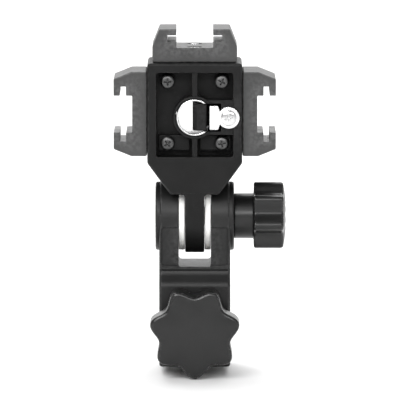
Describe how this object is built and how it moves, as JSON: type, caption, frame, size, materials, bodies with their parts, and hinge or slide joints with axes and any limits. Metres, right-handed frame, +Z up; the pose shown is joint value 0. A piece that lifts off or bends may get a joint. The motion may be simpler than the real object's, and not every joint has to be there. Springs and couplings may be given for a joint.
{
  "type": "umbrella swivel bracket",
  "caption": "Tilting flash bracket for a light stand: socket yoke with clamp knobs, head with accessory shoes and a sprung bore for an umbrella shaft.",
  "frame": {"origin": "centre of the stand socket's mouth, where the light stand's spigot enters", "axes": "+Z up along the stand, +X to the side of the tilt knob, -Y towards the front with the star knob"},
  "size_m": [0.0587, 0.043, 0.117],
  "materials": {
    "yoke_plastic": "black moulded nylon, fine satin texture",
    "head_plastic": "black moulded nylon, fine satin texture",
    "shoe_plastic": "dark grey moulded nylon, satin",
    "knob_plastic": "black moulded plastic, satin",
    "washer_nylon": "white nylon",
    "sleeve_steel": "bright plated steel",
    "plate_steel": "bright plated steel",
    "screw_steel": "bright zinc-plated steel",
    "cover_screw_steel": "blackened steel",
    "bolt_steel": "zinc-plated steel",
    "spring_steel": "spring steel wire",
    "insert_brass": "turned brass",
    "jaw_rubber": "black hard rubber"
  },
  "bodies": {
    "yoke": {"yoke_body": "yoke_plastic", "clamp_thread_insert": "insert_brass", "hinge_bolt": "bolt_steel", "friction_washer_left": "washer_nylon", "friction_washer_right": "washer_nylon"},
    "head": {"head_body": "head_plastic", "rear_cover": "head_plastic", "bore_sleeve": "sleeve_steel", "retainer_plate": "plate_steel", "retainer_screw": "screw_steel", "jaw_spring": "spring_steel", "shoe_left": "shoe_plastic", "shoe_right": "shoe_plastic", "shoe_top": "shoe_plastic", "cover_screw_1": "cover_screw_steel", "cover_screw_2": "cover_screw_steel", "cover_screw_3": "cover_screw_steel", "cover_screw_4": "cover_screw_steel", "shoe_screw_left_1": "screw_steel", "shoe_screw_left_2": "screw_steel", "shoe_screw_right_1": "screw_steel", "shoe_screw_right_2": "screw_steel", "shoe_screw_top_1": "screw_steel", "shoe_screw_top_2": "screw_steel"},
    "jaw": {"clamp_jaw": "jaw_rubber"},
    "tilt_washer": {"tilt_washer": "screw_steel"},
    "tilt_knob": {"tilt_knob": "knob_plastic", "tilt_knob_insert": "insert_brass"},
    "pressure_pad": {"pressure_pad": "insert_brass"},
    "star_knob": {"star_knob": "knob_plastic", "star_screw": "bolt_steel"}
  },
  "joints": [
    {"name": "head_tilt", "type": "hinge", "parent": "yoke", "child": "head", "pos_m": [0, 0, 0.0501], "axis": [1, 0, 0], "range_deg": [-90, 55]},
    {"name": "jaw_slide", "type": "slide", "parent": "head", "child": "jaw", "axis": [1, 0, 0], "range_m": [0, 0.0046], "stiffness_N_per_m": 400, "springref_m": -0.004, "deforming": ["jaw_spring"]},
    {"name": "tilt_knob_travel", "type": "slide", "parent": "yoke", "child": "tilt_washer", "axis": [1, 0, 0], "range_m": [0, 0.00101]},
    {"name": "tilt_knob_turn", "type": "hinge", "parent": "tilt_washer", "child": "tilt_knob", "pos_m": [0.0194, 0, 0.0501], "axis": [1, 0, 0], "range_deg": [0, 360]},
    {"name": "pressure_pad_travel", "type": "slide", "parent": "yoke", "child": "pressure_pad", "axis": [0, 1, 0], "range_m": [-0.00101, 0.00101]},
    {"name": "star_knob_turn", "type": "hinge", "parent": "pressure_pad", "child": "star_knob", "pos_m": [0, -0.0175, 0.0133], "axis": [0, 1, 0], "range_deg": [-360, 360]}
  ],
  "couplings": [
    {"joint": "tilt_knob_travel", "follows": "tilt_knob_turn", "m_per_rad": 0.00015915},
    {"joint": "pressure_pad_travel", "follows": "star_knob_turn", "m_per_rad": 0.00015915}
  ]
}
